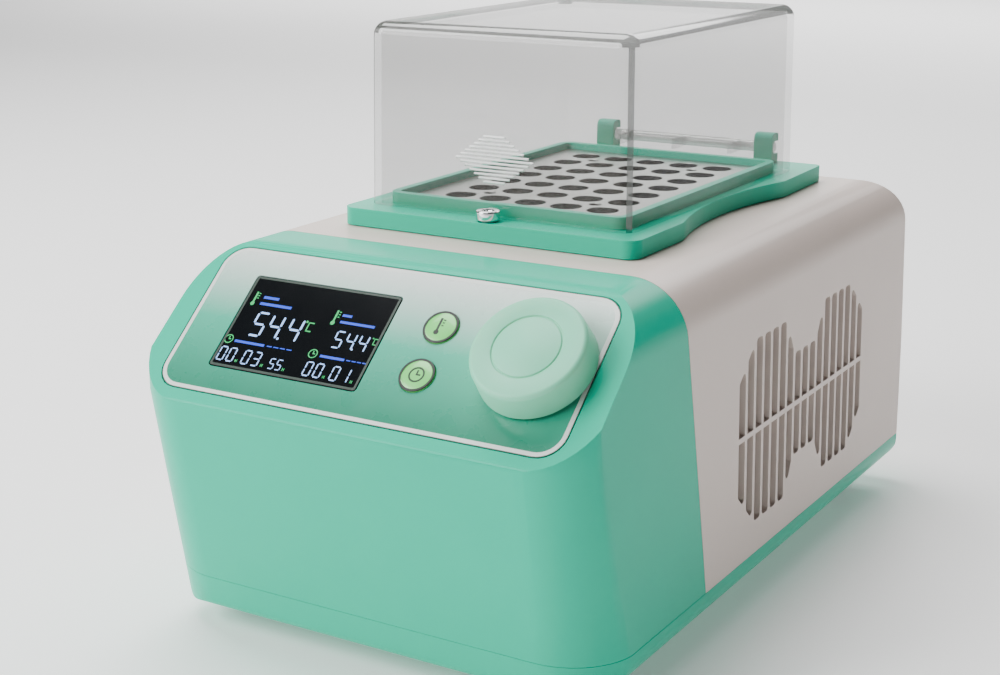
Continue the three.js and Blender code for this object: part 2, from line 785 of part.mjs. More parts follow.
function addKnob() {
  const { x, s, base, top, height, bore, shaft } = KNOB;
  const low = 0.8;
  const body = union(
    cylinder(base, low, height - 1.4, x, s, 40, top + 0.6),
    cylinder(top + 0.6, height - 1.4, height, x, s, 40, top - 0.8),
  );
  const ring = cut(
    cylinder(11.2, height - 0.7, height + 1, x, s, 32),
    cylinder(10.4, height - 1, height + 2, x, s, 32),
  );
  add("control_knob", cut(body, ring, cylinder(bore, 0, height - 2.6, x, s, 16)), PALE_GREEN, panel);
  add("encoder_shaft", cylinder(shaft, -6.3, height - 3, x, s, 14), STEEL, panel);
  const housing = cut(
    box(x - 6.5, x + 6.5, s - 6.5, s + 6.5, BOARD.top + GAP, -3.2),
    cylinder(3.4, -20, 0, x, s, 16),
  );
  add("encoder_body", housing, GREY, panel);
  add("encoder_plunger", cylinder(3, -8.1, -6.6, x, s, 14), BRASS, panel);
}

// ---- Electrics ----------------------------------------------------------------------------------

function addBoards() {
  const board = ({ x0, x1, y0, y1 }) => box(x0, x1, y0, y1, BOARD_Z, BOARD_Z + 1.6);
  const top = BOARD_Z + 1.6 + GAP;
  add("main_board", board(MAIN_BOARD), CIRCUIT);
  add("buzzer", cylinder(6, top, top + 8, -46, 10, 20), BLACK);
  add("processor", box(-36, -22, -16, -2, top, top + 1.6), BLACK);
  add("power_supply_board", board(SUPPLY_BOARD), CIRCUIT);
  const core = box(6, 44, 26, 58, top, top + 28);
  const winding = box(10, 40, 20, 64, top + 5, top + 23);
  add("transformer", union(core, winding), STEEL);
  add("filter_capacitor", cylinder(8, top, top + 24, 48, 2, 24), BLACK);
  let sink = box(4, 30, -26, -23, top, top + 24);
  for (let i = 0; i < 5; i++) sink = sink.add(box(4 + 6 * i, 6 + 6 * i, -24, -10, top, top + 24));
  add("relay_heatsink", sink, ALUMINIUM);
}

function addFan() {
  const { x, y, z, size, depth, bore, hub, blades } = FAN;
  const x0 = x - depth / 2;
  const x1 = x + depth / 2;
  const half = size / 2;
  const outline = rounded(rectangle(y - half, y + half, z - half, z + half, 4), 3);
  const spokes = [0, 1, 2].map((i) => {
    const angle = (2 * Math.PI * i) / 3 + 0.5;
    const geometry = new THREE.BoxGeometry(2, 3, bore);
    geometry.translate(0, 0, bore / 2 + 1).rotateX(angle).translate(x1 - 1, y, z);
    return toSolid(geometry);
  });
  const frame = union(
    cut(alongX(outline, x0, x1), rod(bore, "x", x0 - 1, x1 + 1, y, z, 32)),
    rod(hub - 1, "x", x1 - 2, x1, y, z, 24),
    ...spokes,
  );
  add("fan_frame", frame, BLACK);
  const rotorEnd = x1 - 2 - 1;
  const vanes = Array.from({ length: blades }, (_, i) => {
    const geometry = new THREE.BoxGeometry(9.5, 1.4, bore - hub - 0.5);
    geometry.rotateZ(0.6).translate(0, 0, (bore + hub) / 2 - 0.9);
    geometry.rotateX((2 * Math.PI * i) / blades).translate(x0 + 5.6, y, z);
    return toSolid(geometry);
  });
  add("fan_rotor", union(rod(hub, "x", x0 + 1, rotorEnd, y, z, 24), ...vanes), BLACK);
}

function addInlet() {
  const { x, z, width, height, socketWidth, socketHeight, depth } = INLET;
  const face = BACK - 1.6;
  const inner = face - depth;
  const socketZ = z + 5.5;
  const drawerZ = z - DRAWER.drop;
  const body = union(
    box(x - width / 2, x + width / 2, inner, face, z - height / 2, z + height / 2),
    box(x - width / 2 - 2, x + width / 2 + 2, face - 6, face - 3.6, z - height / 2 - 2, z + height / 2 + 2),
  );
  const socket = box(
    x - socketWidth / 2,
    x + socketWidth / 2,
    face - 17,
    face + 1,
    socketZ - socketHeight / 2,
    socketZ + socketHeight / 2,
  );
  const slot = box(
    x - DRAWER.width / 2 - GAP,
    x + DRAWER.width / 2 + GAP,
    face - DRAWER.depth - GAP,
    face + 1,
    drawerZ - DRAWER.height / 2 - GAP,
    drawerZ + DRAWER.height / 2 + GAP,
  );
  const pins = [
    [-7, -1.5],
    [0, 2.5],
    [7, -1.5],
  ].map(([dx, dz]) => box(x + dx - 1, x + dx + 1, face - 18, face - 5, socketZ + dz - 2, socketZ + dz + 2));
  add("power_inlet", union(cut(body, socket, slot), ...pins), BLACK);
  const drawer = cut(
    box(
      x - DRAWER.width / 2,
      x + DRAWER.width / 2,
      face - DRAWER.depth,
      face,
      drawerZ - DRAWER.height / 2,
      drawerZ + DRAWER.height / 2,
    ),
    box(x - DRAWER.width / 2 + 1.5, x + DRAWER.width / 2 - 1.5, face - 16, face - 2, drawerZ - 1.4, drawerZ + 9),
  );
  add("fuse_drawer", drawer, BLACK);
}

function addSwitch() {
  const { x, z, width, height, depth } = SWITCH;
  const face = BACK - 1.6;
  const frame = cut(
    union(
      box(x - width / 2, x + width / 2, face - depth, face, z - height / 2, z + height / 2),
      box(x - width / 2 - 2, x + width / 2 + 2, face - 6, face - 3.6, z - height / 2 - 2, z + height / 2 + 2),
    ),
    box(x - width / 2 + 2, x + width / 2 - 2, face - 9, face + 1, z - height / 2 + 2, z + height / 2 - 2),
  );
  add("switch_frame", frame, BLACK);
  const wing = width / 2 - 3.2;
  const rocker = alongZ(
    rounded([
      [x - wing, face - 3.4],
      [x, face - 6.5],
      [x + wing, face - 3.4],
      [x + wing, face - 0.2],
      [x, face - 1.6],
      [x - wing, face - 0.2],
    ]),
    z - height / 2 + 2.5,
    z + height / 2 - 2.5,
  );
  add("power_rocker", rocker, BLACK);
}

addBaseTray();
addFrontShell();
addRearCover();
addFeet();
addCaseScrews();
addCollar();
addLid();
addBlock();
addHeater();
addCarrier();
addPanelPieces();
addKeys();
addKnob();
addBoards();
addFan();
addInlet();
addSwitch();

export default root;
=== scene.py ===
import json
import math

import bmesh
import bpy
from mathutils import Matrix, Vector


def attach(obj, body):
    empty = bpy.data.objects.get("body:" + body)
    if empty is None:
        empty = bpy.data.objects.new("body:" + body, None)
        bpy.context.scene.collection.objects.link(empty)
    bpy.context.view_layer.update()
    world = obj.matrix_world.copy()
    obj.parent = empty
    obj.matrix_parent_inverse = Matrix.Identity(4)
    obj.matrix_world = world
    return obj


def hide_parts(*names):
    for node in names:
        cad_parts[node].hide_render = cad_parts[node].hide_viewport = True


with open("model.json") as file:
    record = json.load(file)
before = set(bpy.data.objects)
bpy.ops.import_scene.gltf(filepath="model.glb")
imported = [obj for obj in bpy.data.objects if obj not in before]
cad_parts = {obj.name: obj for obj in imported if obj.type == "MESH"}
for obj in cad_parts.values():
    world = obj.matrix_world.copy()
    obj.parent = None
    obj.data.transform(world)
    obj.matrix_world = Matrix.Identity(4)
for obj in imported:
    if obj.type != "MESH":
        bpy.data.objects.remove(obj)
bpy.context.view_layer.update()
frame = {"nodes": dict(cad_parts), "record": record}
NODES = frame["nodes"]
MM = 0.001
BODIES = frame["record"]["behaviour"]["bodies"]
BODY_OF = {node: body for body, nodes in BODIES.items() for node in nodes}
SLOT_OF = {part["node"]: part["material_slot"] for part in frame["record"]["subparts"]}

# ---- Dimensions in millimetres ---------------------------------------------------------------------

PANEL_ANGLE = math.atan(0.865)
PANEL = (
    Matrix.Translation((0, -139 * MM, 84.9 * MM))
    @ Matrix.Rotation(PANEL_ANGLE, 4, "X")
    @ Matrix.Scale(MM, 4)
)
CASE = Matrix.Scale(MM, 4)
KNOB = (55.4, 34.4)  # on the panel: across, up the slope
KEYS = {"temp": (18, 42.4), "time": (18, 24.5)}
SCREEN = (-57.5, -0.1, 15.2, 51.4)
FADE_HEIGHTS = (0.0884, 0.1252)  # in metres: where the control film's fade starts and ends
INK_BOTTOM, INK_TOP = -0.04, 0.02  # the display's marks, from under the window's face to just above it
HINGE_Y, HINGE_Z, HINGE_HALF = 105.2, 139.8, 38.2
LID_BOTTOM, LID_TOP, LID_WALL = 134, 197, 2.6
LID_FRONT, LID_BACK, LID_HALF = -46, 93.3, 51.3
LID_CORNER, LID_ROUND, LID_DRAFT = 5.5, 5, 0.011
GRIP_Z, GRIP_WIDE, GRIP_NARROW, GRIP_RISE = 153.6, 15, 3.6, 8
BLOCK_BOTTOM, BLOCK_TOP, BLOCK_MIDDLE_Y = 91.0, 135.4, 25.5
BLOCK_X, BLOCK_FRONT, BLOCK_BACK = 42.8, -37.6, 84.9

# ---- Materials -------------------------------------------------------------------------------------


def srgb(r, g, b):
    """A colour given as screen values from 0 to 255."""

    def linear(v):
        v /= 255
        return v / 12.92 if v <= 0.04045 else ((v + 0.055) / 1.055) ** 2.4

    return (linear(r), linear(g), linear(b), 1)


def finish(
    name, color, roughness, vary=0.04, grain=900, bump=0.02, spread=0.06, stretch=(1, 1, 1), **sockets
):
    """A surface with fine colour variation, uneven gloss and a moulded or brushed grain."""
    material = bpy.data.materials.new(name)
    material.use_nodes = True
    nodes = material.node_tree.nodes
    links = material.node_tree.links
    shader = nodes["Principled BSDF"]
    for socket, value in sockets.items():
        shader.inputs[socket.replace("_", " ")].default_value = value
    place = nodes.new("ShaderNodeTexCoord")
    mapping = nodes.new("ShaderNodeMapping")
    mapping.inputs["Scale"].default_value = stretch
    links.new(place.outputs["Object"], mapping.inputs["Vector"])

    def noise(scale, detail):
        made = nodes.new("ShaderNodeTexNoise")
        made.inputs["Scale"].default_value = scale
        made.inputs["Detail"].default_value = detail
        links.new(mapping.outputs["Vector"], made.inputs["Vector"])
        return made.outputs["Fac"]

    shade = nodes.new("ShaderNodeValToRGB")
    shade.color_ramp.elements[0].position = 0.3
    shade.color_ramp.elements[1].position = 0.7
    shade.color_ramp.elements[0].color = [c * (1 - vary) for c in color[:3]] + [1]
    shade.color_ramp.elements[1].color = [min(c * (1 + vary), 1) for c in color[:3]] + [1]
    links.new(noise(38, 3), shade.inputs["Fac"])
    links.new(shade.outputs["Color"], shader.inputs["Base Color"])
    gloss = nodes.new("ShaderNodeMapRange")
    gloss.inputs["To Min"].default_value = max(roughness - spread, 0.02)
    gloss.inputs["To Max"].default_value = min(roughness + spread, 1)
    links.new(noise(120, 4), gloss.inputs["Value"])
    links.new(gloss.outputs["Result"], shader.inputs["Roughness"])
    relief = nodes.new("ShaderNodeBump")
    relief.inputs["Strength"].default_value = bump
    relief.inputs["Distance"].default_value = 0.0003
    links.new(noise(grain, 2), relief.inputs["Height"])
    links.new(relief.outputs["Normal"], shader.inputs["Normal"])
    return material


def overlay_finish():
    """The control film: pale grey at the top edge, fading to green towards the crease."""
    material = finish("overlay_finish", srgb(190, 215, 205), 0.28, grain=2500, bump=0.03, Coat_Weight=0.3)
    nodes = material.node_tree.nodes
    links = material.node_tree.links
    place = nodes.new("ShaderNodeTexCoord")
    split = nodes.new("ShaderNodeSeparateXYZ")
    along = nodes.new("ShaderNodeMapRange")
    along.inputs["From Min"].default_value, along.inputs["From Max"].default_value = FADE_HEIGHTS
    ramp = nodes.new("ShaderNodeValToRGB")
    ramp.color_ramp.elements[0].position = 0.0
    ramp.color_ramp.elements[0].color = srgb(0, 128, 98)
    ramp.color_ramp.elements[1].position = 1.0
    ramp.color_ramp.elements[1].color = srgb(226, 234, 231)
    middle = ramp.color_ramp.elements.new(0.5)
    middle.color = srgb(58, 182, 150)
    links.new(place.outputs["Object"], split.inputs["Vector"])
    links.new(split.outputs["Z"], along.inputs["Value"])
    links.new(along.outputs["Result"], ramp.inputs["Fac"])
    links.new(ramp.outputs["Color"], nodes["Principled BSDF"].inputs["Base Color"])
    return material


def glow(name, color, strength):
    """A printed or lit mark that shines a little."""
    material = finish(name, color, 0.4, vary=0.05, grain=3000)
    shader = material.node_tree.nodes["Principled BSDF"]
    shader.inputs["Emission Color"].default_value = color
    shader.inputs["Emission Strength"].default_value = strength
    return material


GREEN = finish(
    "green_gloss", srgb(0, 192, 156), 0.3, vary=0.015, bump=0.006, spread=0.03, Specular_IOR_Level=0.12
)
WHITE = finish("white_satin", srgb(222, 206, 197), 0.38, vary=0.012, bump=0.008, spread=0.03)
OVERLAY = overlay_finish()
BORDER = finish("overlay_border", srgb(226, 232, 228), 0.3, grain=2500, bump=0.02)
# Painted shadow: the thin dark ring round the control film stands in for the shade in the groove at its
# edge.
GROOVE_SHADE = finish("overlay_groove_shade", srgb(70, 96, 84), 0.4, grain=2500, bump=0.02)
PALE = finish("knob_satin", srgb(122, 216, 178), 0.42, grain=1600, bump=0.05, Subsurface_Weight=0.08)
KEY = finish("key_face", srgb(112, 220, 112), 0.3, grain=1600, bump=0.03, Coat_Weight=0.3)
INK = finish("printed_black", srgb(22, 26, 24), 0.45, grain=2000, bump=0.02)
SCREEN_GLASS = finish(
    "screen_glass", srgb(10, 13, 16), 0.16, vary=0.1, spread=0.03, bump=0.01, Specular_IOR_Level=0.2
)
BEZEL = finish("screen_bezel", srgb(50, 66, 58), 0.35, bump=0.02)
DIGIT = glow("digit_glow", srgb(150, 190, 250), 0.75)
MARK_BLUE = glow("blue_glow", srgb(16, 70, 215), 0.35)
MARK_GREEN = glow("green_glow", srgb(20, 170, 90), 0.35)
CLEAR = finish(
    "lid_clear", srgb(84, 77, 68), 0.06, vary=0.01, spread=0.015, bump=0.004, Alpha=0.155, IOR=2.0
)
# Painted shade: grey and half opaque, for the lid's rounded edges, in place of the dark lines that
# refraction makes in clear plastic.
CLEAR_EDGE_SHADE = finish(
    "lid_edge_painted_shade", srgb(66, 70, 63), 0.08, vary=0.03, spread=0.02, bump=0.004, Alpha=0.75, IOR=2.1
)
ROD = finish(
    "rod_clear", srgb(186, 184, 178), 0.06, vary=0.02, bump=0.004, Alpha=0.5, IOR=2.4, Coat_Weight=1.0
)
FROST = finish("grip_frost", srgb(255, 255, 255), 0.3, vary=0, Coat_Weight=0.6)
# Painted shade: a dark metal for the wells' inner walls, standing in for the shade that falls inside the
# holes.
WELL_SHADE = finish("well_painted_shade", srgb(34, 37, 35), 0.3, vary=0.08, grain=800, bump=0.1, Metallic=1.0)
RUBBER = finish("foot_rubber", srgb(30, 30, 31), 0.85, vary=0.15, grain=2200, bump=0.2)
STEEL = finish(
    "brushed_steel",
    srgb(176, 178, 181),
    0.32,
    vary=0.06,
    grain=700,
    stretch=(1, 12, 1),
    bump=0.08,
    Metallic=1.0,
)
CHROME = finish("bright_chrome", srgb(225, 226, 228), 0.08, vary=0.02, spread=0.04, bump=0.01, Metallic=1.0)
BLOCK = finish(
    "machined_aluminium",
    srgb(172, 174, 170),
    0.3,
    vary=0.05,
    grain=600,
    stretch=(14, 1, 1),
    bump=0.1,
    Metallic=1.0,
)
BLACK = finish("black_moulding", srgb(24, 24, 26), 0.5, vary=0.12, grain=1500, bump=0.12)
CIRCUIT = finish("solder_mask", srgb(22, 84, 52), 0.4, vary=0.2, grain=500, bump=0.1)
FOAM = finish("foam", srgb(104, 107, 96), 0.95, vary=0.08, grain=700, bump=0.5)
SILICONE = finish("silicone_mat", srgb(186, 84, 46), 0.75, vary=0.1, grain=1200, bump=0.3)
BRASS = finish("brass", srgb(196, 160, 84), 0.3, vary=0.06, bump=0.05, Metallic=1.0)
GREY = finish("grey_moulding", srgb(140, 144, 146), 0.55, vary=0.06, grain=1500, bump=0.1)

FINISHES = {
    "green_plastic": GREEN,
    "white_plastic": WHITE,
    "overlay_film": OVERLAY,
    "black_window": SCREEN_GLASS,
    "clear_plastic": CLEAR,
    "knob_plastic": PALE,
    "key_plastic": KEY,
    "rubber": RUBBER,
    "steel": STEEL,
    "chrome": CHROME,
    "aluminium": BLOCK,
    "black_plastic": BLACK,
    "circuit_board": CIRCUIT,
    "foam": FOAM,
    "silicone": SILICONE,
    "brass": BRASS,
    "grey_plastic": GREY,
}

# ---- Mesh helpers ----------------------------------------------------------------------------------


def piece(name, mesh, material, body, slot, *replaced):
    made = bpy.data.objects.new(name, mesh)
    bpy.context.scene.collection.objects.link(made)
    mesh.materials.clear()
    mesh.materials.append(material)
    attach(made, body)
    if replaced:
        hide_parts(*replaced)
    return made


def smooth(mesh, angle=35):
    """Smooth faces, with every edge bent further than angle left sharp."""
    bm = bmesh.new()
    bm.from_mesh(mesh)
    limit = math.radians(angle)
    for face in bm.faces:
        face.smooth = True
    for edge in bm.edges:
        edge.smooth = len(edge.link_faces) == 2 and edge.calc_face_angle(0) < limit
    bm.to_mesh(mesh)
    bm.free()


def soften(made, width, segments=2, angle=35):
    """Rounds the sharp edges and evens out the shading of the flats between them."""
    bevel = made.modifiers.new("edges", "BEVEL")
    bevel.width = width * MM
    bevel.segments = segments
    bevel.limit_method = "ANGLE"
    bevel.angle_limit = math.radians(angle)
    bevel.use_clamp_overlap = True
    bevel.harden_normals = False
    weights = made.modifiers.new("flats", "WEIGHTED_NORMAL")
    weights.keep_sharp = True
    weights.weight = 80


def refined(node, width=0.3, segments=2, angle=35, material=None):
    """A copy of a CAD piece with merged flats, rounded edges and even shading."""
    mesh = NODES[node].data.copy()
    bm = bmesh.new()
    bm.from_mesh(mesh)
    bmesh.ops.remove_doubles(bm, verts=bm.verts, dist=0.002 * MM)
    bmesh.ops.dissolve_limit(bm, angle_limit=math.radians(0.4), verts=bm.verts, edges=bm.edges)
    bm.to_mesh(mesh)
    bm.free()
    smooth(mesh, angle)
    slot = SLOT_OF[node]
    made = piece(node + "_finished", mesh, material or FINISHES[slot], BODY_OF[node], slot, node)
    soften(made, width, segments, angle)
    return made


def mesh_of(name, verts, faces, matrix):
    mesh = bpy.data.meshes.new(name)
    mesh.from_pydata([matrix @ Vector(v) for v in verts], [], faces)
    mesh.validate()
    bm = bmesh.new()
    bm.from_mesh(mesh)
    bmesh.ops.recalc_face_normals(bm, faces=bm.faces)
    bm.to_mesh(mesh)
    bm.free()
    return mesh


def lathe(name, profile, matrix, steps=96):
    """A profile of (radius, height) turned about the matrix's Z axis; it starts and ends on the axis."""
    verts = [(0, 0, profile[0][1])]
    inner = profile[1:-1]
    for radius, height in inner:
        for i in range(steps):
            angle = 2 * math.pi * i / steps
            verts.append((radius * math.cos(angle), radius * math.sin(angle), height))
    verts.append((0, 0, profile[-1][1]))
    faces = []
    for i in range(steps):
        j = (i + 1) % steps
        faces.append((0, 1 + j, 1 + i))
        for k in range(len(inner) - 1):
            a = 1 + k * steps
            faces.append((a + i, a + j, a + steps + j, a + steps + i))
        last = 1 + (len(inner) - 1) * steps
        faces.append((last + i, last + j, len(verts) - 1))
    return mesh_of(name, verts, faces, matrix)


def arc(cx, cy, radius, start, end, steps=8):
    return [
        (
            cx + radius * math.cos(math.radians(start + (end - start) * i / steps)),
            cy + radius * math.sin(math.radians(start + (end - start) * i / steps)),
        )
        for i in range(steps + 1)
    ]


def round_rect(x0, x1, y0, y1, radius, steps=8):
    return (
        arc(x1 - radius, y0 + radius, radius, -90, 0, steps)
        + arc(x1 - radius, y1 - radius, radius, 0, 90, steps)
        + arc(x0 + radius, y1 - radius, radius, 90, 180, steps)
        + arc(x0 + radius, y0 + radius, radius, 180, 270, steps)
    )


def slabs(name, outlines, bottom, top, matrix):
    """One mesh of flat slabs, each from its own outline of (x, y) points."""
    verts, faces = [], []
    for outline in outlines:
        base = len(verts)
        count = len(outline)
        verts += [(x, y, bottom) for x, y in outline]
        verts += [(x, y, top) for x, y in outline]
        faces.append([base + i for i in reversed(range(count))])
        faces.append([base + count + i for i in range(count)])
        for i in range(count):
            j = (i + 1) % count
            faces.append((base + i, base + j, base + count + j, base + count + i))
    return mesh_of(name, verts, faces, matrix)


def band(name, outer, inner, bottom, top, matrix):
    """A flat ring between two outlines with the same number of points."""
    count = len(outer)
    verts = [(x, y, z) for z in (bottom, top) for ring in (outer, inner) for x, y in ring]
    faces = []
    for i in range(count):
        j = (i + 1) % count
        a, b, c, d = (k * count for k in range(4))
        faces.append((c + i, c + j, d + j, d + i))
        faces.append((a + j, a + i, b + i, b + j))
        faces.append((a + i, a + j, c + j, c + i))
        faces.append((b + j, b + i, d + i, d + j))
    return mesh_of(name, verts, faces, matrix)


# ---- Case ------------------------------------------------------------------------------------------


def make_case():
    refined("front_shell", 0.35)
    refined("rear_cover", 0.3)
    refined("base_tray", 0.35)
    refined("top_collar", 0.7, 3)


def make_panel():
    refined("control_overlay", 0.12, 1)
    edge = round_rect(-74, 74, 5.2, 61.7, 8.5)
    line = round_rect(-73.75, 73.75, 5.45, 61.45, 8.25)
    inner = round_rect(-72.4, 72.4, 6.8, 60.1, 7)
    # The outermost ring is a painted shadow for the groove round the film.
    piece("overlay_groove_shade_ring", band("line", edge, line, 0, 0.05, PANEL), GROOVE_SHADE, "case", "overlay_film")
    piece("overlay_border", band("border", line, inner, 0, 0.05, PANEL), BORDER, "case", "overlay_film")
    x0, x1, s0, s1 = SCREEN
    refined("display_window", 0.15, 1)
    frame_outer = round_rect(x0 + 0.4, x1 - 0.4, s0 + 0.4, s1 - 0.4, 0.8)
    frame_inner = round_rect(x0 + 1.2, x1 - 1.2, s0 + 1.2, s1 - 1.2, 0.4)
    bezel = band("bezel", frame_outer, frame_inner, -0.04, 0.03, PANEL)
    piece("screen_bezel", bezel, BEZEL, "case", "black_window")


# ---- Display ---------------------------------------------------------------------------------------

SEGMENTS = {
    "0": "abcdef",
    "1": "bc",
    "3": "abcdg",
    "4": "bcfg",
    "5": "acdfg",
}


def digit(character, x, y, height):
    """The lit segments of one digit whose lower left corner is at (x, y)."""
    width = height * 0.48
    thick = height * 0.085
    gap = thick * 0.35
    middle = height / 2

    def segment(a, b):
        along = (Vector(b) - Vector(a)).normalized()
        across = Vector((-along.y, along.x)) * thick / 2
        start = Vector(a) + along * (gap + thick / 2)
        end = Vector(b) - along * (gap + thick / 2)
        points = [
            start - along * thick / 2,
            start - across,
            end - across,
            end + along * thick / 2,
            end + across,
            start + across,
        ]
        return [(x + p.x, y + p.y) for p in points]

    ends = {
        "a": ((0, height), (width, height)),
        "b": ((width, middle), (width, height)),
        "c": ((width, 0), (width, middle)),
        "d": ((0, 0), (width, 0)),
        "e": ((0, 0), (0, middle)),
        "f": ((0, middle), (0, height)),
        "g": ((0, middle), (width, middle)),
    }
    return [segment(*ends[s]) for s in SEGMENTS[character]]


def digit_row(text, places, y, height):
    return [lit for character, x in zip(text, places) for lit in digit(character, x, y, height)]


def clock_icon(x, y, radius):
    """A ring with two hands."""
    dial = arc(x, y, radius, 0, 345, 23)
    hole = arc(x, y, radius * 0.8, 0, 345, 23)
    ring = []
    for i in range(24):
        j = (i + 1) % 24
        ring.append([dial[i], dial[j], hole[j], hole[i]])
    w = radius * 0.1
    hands = [bar(x - w, x + w, y - w, w + radius * 0.6), bar(x + w, x + radius * 0.5, y - w, 2 * w)]
    return ring + hands


def thermometer_icon(x, y, height):
    """A bulb with a stem and three scale marks, drawn upwards from the bulb."""
    r = height * 0.17
    stem = height * 0.075
    marks = [bar(x + 2 * stem, x + 4 * stem, y + height * share, stem) for share in (0.45, 0.65, 0.85)]
    tube = bar(x - stem, x + stem, y + r * 0.9, height - r * 0.9)
    return [arc(x, y, r, 0, 345, 23), tube] + marks


def bar(x0, x1, y, height):
    """An upright rectangle."""
    return [(x0, y), (x1, y), (x1, y + height), (x0, y + height)]


def dashes(x, s, count, pitch):
    return [bar(x + i * pitch, x + (i + 0.75) * pitch, s, 0.35) for i in range(count)]


def add_marks(name, outlines, material):
    piece("lcd_" + name, slabs(name, outlines, INK_BOTTOM, INK_TOP, PANEL), material, "case", "black_window")


def make_digits():
    digits = digit_row("54", (-48.9, -42.6), 28.6, 8.8) + digit_row("4", (-34.9,), 28.6, 8.8)
    digits += digit_row("544", (-16.6, -12.1, -7.4), 29.3, 6)
    digits += digit_row("0003", (-55.7, -51.9, -45.9, -41.9), 17.8, 5)
    digits += digit_row("55", (-35.1, -32.3), 17.8, 3.7)
    digits += digit_row("0001", (-21.6, -17.6, -11.4, -7.4), 17.7, 5)
    digits += [arc(-37.2, 28.9, 0.45, 0, 330, 11), arc(-8.7, 29.6, 0.35, 0, 330, 11)]
    add_marks("digits", digits, DIGIT)


def make_bars():
    """Plain bars and dashes in the places of the display's small captions."""
    blue = [bar(-50.6, -44.5, 42.8, 1), bar(-50.8, -38.2, 40.3, 1)]
    blue += [bar(-18.2, -14.6, 40.8, 0.9), bar(-17.9, -4.8, 38.3, 0.9)]
    blue += [bar(-52.4, -40.6, 25.1, 0.9), bar(-18.6, -9.4, 25, 0.9)]
    blue += dashes(-39.5, 25.4, 4, 2.6) + dashes(-8.6, 25.3, 4, 2)
    add_marks("words", blue, MARK_BLUE)


def make_signs():
    """Thermometers, clocks, degree signs and the unit marks beside the digits."""
    green = thermometer_icon(-53.8, 40.4, 4.6) + thermometer_icon(-20.5, 38, 4.8)
    green += clock_icon(-55, 25.9, 1.7) + clock_icon(-21.5, 25.8, 1.7)
    for x, s, size in ((-28.8, 33.2, 3.6), (-2.6, 32.4, 2.4)):
        line = size * 0.12
        green += [
            bar(x, x + line, s, size),
            bar(x, x + size * 0.6, s + size - line, line),
            bar(x, x + size * 0.6, s, line),
            arc(x - size * 0.22, s + size, size * 0.12, 0, 330, 11),
        ]
    for x, s in ((-48.3, 17.9), (-38.1, 17.9), (-29.5, 17.8), (-13.9, 17.8), (-3.6, 17.8)):
        green += [bar(x, x + 0.22, s, 1), bar(x + 0.6, x + 0.82, s, 1)]
        green.append(bar(x, x + 0.8, s + 0.42, 0.2))
    add_marks("marks", green, MARK_GREEN)


# ---- Keys and knob ---------------------------------------------------------------------------------


def make_keys():
    for name, (x, s) in KEYS.items():
        place = PANEL @ Matrix.Translation((x, s, 0))
        profile = [(0, -2.4), (5.9, -2.4), (5.9, 0.1)] + arc(5.4, 0.1, 0.5, 0, 90, 5)
        profile += [(5.1, 0.6), (4.9, 0.5), (4.7, 0.56), (2.4, 0.66), (0, 0.7)]
        body = name + "_button"
        mesh = lathe(name, profile, place, 64)
        made = piece(name + "_key_cap", mesh, KEY, body, "key_plastic", name + "_key")
        smooth(made.data, 40)
        outer = arc(0, 0, 5.93, 0, 357, 119)
        inner = arc(0, 0, 5.1, 0, 357, 119)
        edge = band(name + "_ring", outer, inner, 0.2, 0.69, place)
        soften(piece(name + "_key_ring", edge, INK, body, "key_plastic"), 0.12)
        icon = thermometer_icon(-0.7, -2.1, 5.2) if name == "temp" else clock_icon(0, 0, 2.7)
        mark = slabs(name + "_icon", icon, 0.5, 0.72, place)
        piece(name + "_key_icon", mark, INK, body, "key_plastic")


def make_knob():
    place = PANEL @ Matrix.Translation((KNOB[0], KNOB[1], 0))
    profile = [(0, 8), (2.9, 8), (2.9, 0.9), (18.2, 0.8)]
    profile += arc(18.3, 1.2, 0.4, -90, 0, 5)
    profile += [(18.45, 5.0)]
    profile += arc(16.7, 9.1, 1.5, 0, 90, 12)
    groove = [(11.15, 10.5), (11.0, 10.2), (10.6, 10.2), (10.45, 10.5)]
    profile += [(11.4, 10.6)] + groove + [(10.2, 10.6), (0, 10.6)]
    mesh = lathe("knob", profile, place, 128)
    made = piece("knob_cap", mesh, PALE, "knob", "knob_plastic", "control_knob")
    smooth(made.data, 50)


# ---- Lid -------------------------------------------------------------------------------------------


def lid_ring(z, shrink):
    taper = LID_DRAFT * (z - LID_BOTTOM) + shrink
    radius = max(LID_CORNER - shrink, 0.8)
    side = LID_HALF - taper
    outline = round_rect(-side, side, LID_FRONT + taper, LID_BACK - taper, radius, 8)
    return [(x, y, z) for x, y in outline]


def lid_levels(top, shrink, turn):
    """Rings from the open bottom up the walls and round the top edge."""
    levels = [lid_ring(LID_BOTTOM, shrink)]
    for i in range(9):
        angle = math.pi / 2 * i / 8
        z = top - turn * (1 - math.sin(angle))
        levels.append(lid_ring(z, shrink + turn * (1 - math.cos(angle))))
    return levels


def paint_edge_shade(mesh):
    """Paints grey shade on the round top edge and the middle of the two front corners, standing for the dark
    lines that refraction makes there.
    """
    mesh.materials.append(CLEAR_EDGE_SHADE)
    middle = Vector((0, (LID_FRONT + LID_BACK) / 2, 150)) * MM
    for face in mesh.polygons:
        across, deep, up = (abs(v) for v in face.normal)
        corner = across > 0.55 and deep > 0.55 and face.center.y < 0
        outside = face.normal.dot(face.center - middle) > 0
        if outside and (corner or 0.3 < up < 0.97):
            face.material_index = 1


